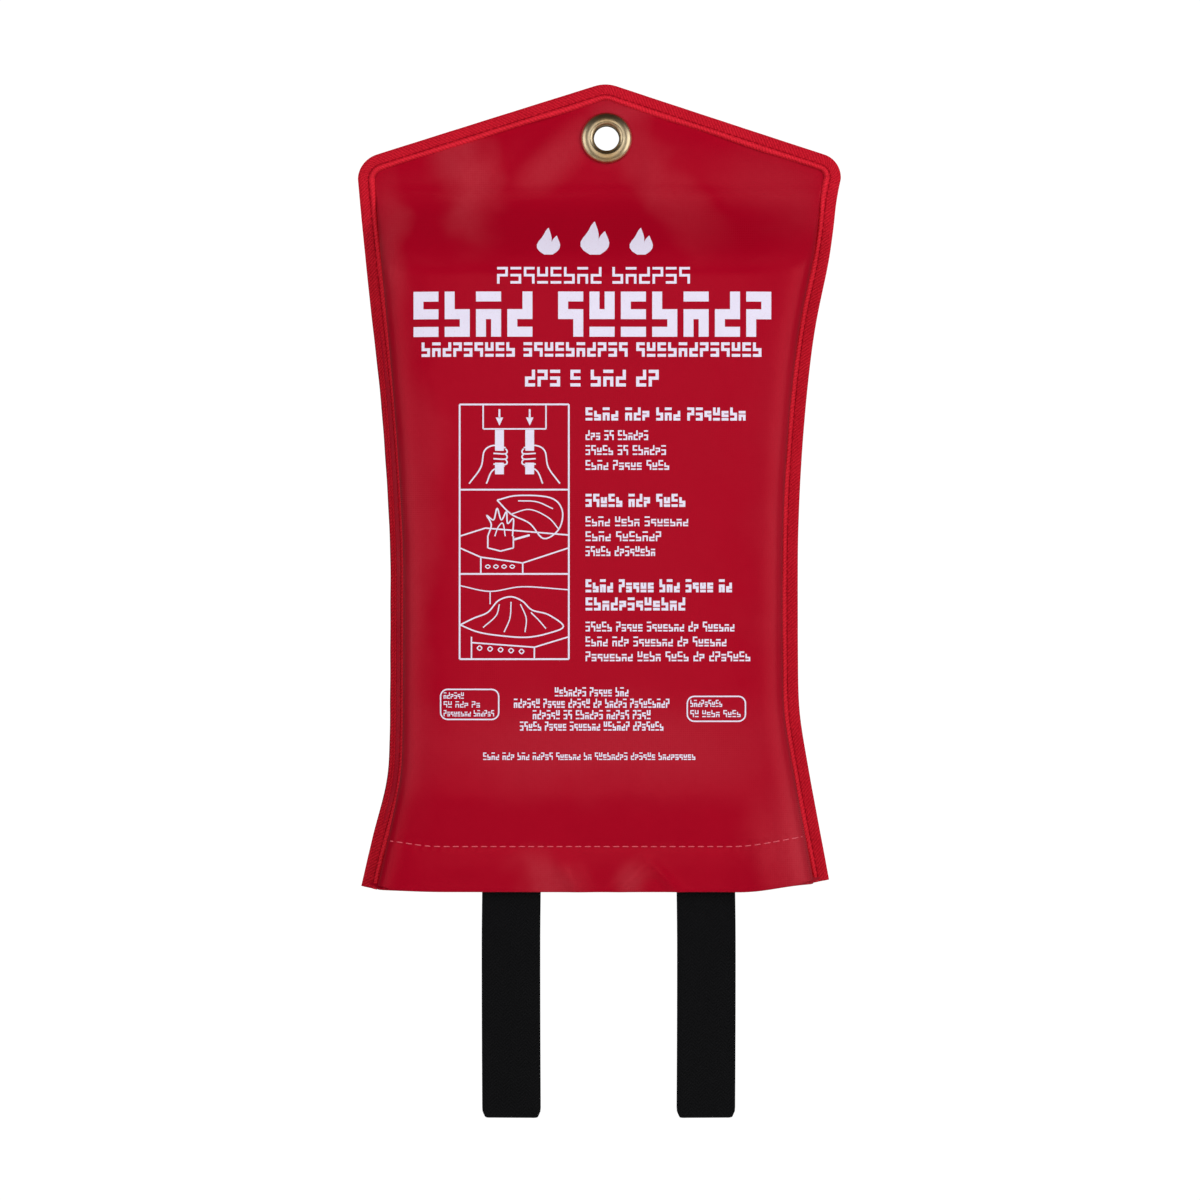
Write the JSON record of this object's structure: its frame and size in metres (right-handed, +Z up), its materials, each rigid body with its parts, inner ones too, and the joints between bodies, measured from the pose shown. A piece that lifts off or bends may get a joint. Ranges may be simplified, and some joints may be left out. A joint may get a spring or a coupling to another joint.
{
  "type": "fire blanket",
  "caption": "Pleated glass-cloth fire blanket in a soft red gabled pouch with a brass hanging eyelet, pulled out downwards by two black webbing loops.",
  "frame": {"origin": "middle of the eyelet's hole, on the plane where the two panels meet", "axes": "+Z up as it hangs, +Y towards the wall behind it, -Y towards the person in front, +X to that person's right"},
  "size_m": [0.2082, 0.0418, 0.4432],
  "materials": {
    "coated_fabric": "semi-gloss vinyl coating over a woven scrim",
    "binding_tape": "woven twill tape",
    "red_thread": "twisted polyester thread",
    "brass": "polished",
    "glass_cloth": "silicone-coated woven glass cloth",
    "webbing": "matte herringbone webbing",
    "black_thread": "twisted polyester thread"
  },
  "bodies": {
    "pouch": {"front_panel": "coated_fabric", "back_panel": "coated_fabric", "edge_binding": "binding_tape", "binding_needle_thread": "red_thread", "binding_bobbin_thread": "red_thread", "front_hem_needle_thread": "red_thread", "front_hem_bobbin_thread": "red_thread", "back_hem_needle_thread": "red_thread", "back_hem_bobbin_thread": "red_thread", "eyelet": "brass", "eyelet_washer": "brass"},
    "blanket": {"fire_blanket": "glass_cloth", "pull_strap_left": "webbing", "pull_strap_right": "webbing", "strap_stitching_left": "black_thread", "strap_stitching_right": "black_thread"}
  },
  "joints": [
    {"name": "blanket_pull", "type": "slide", "parent": "pouch", "child": "blanket", "axis": [0, 0, -1], "range_m": [0, 0.28]}
  ]
}
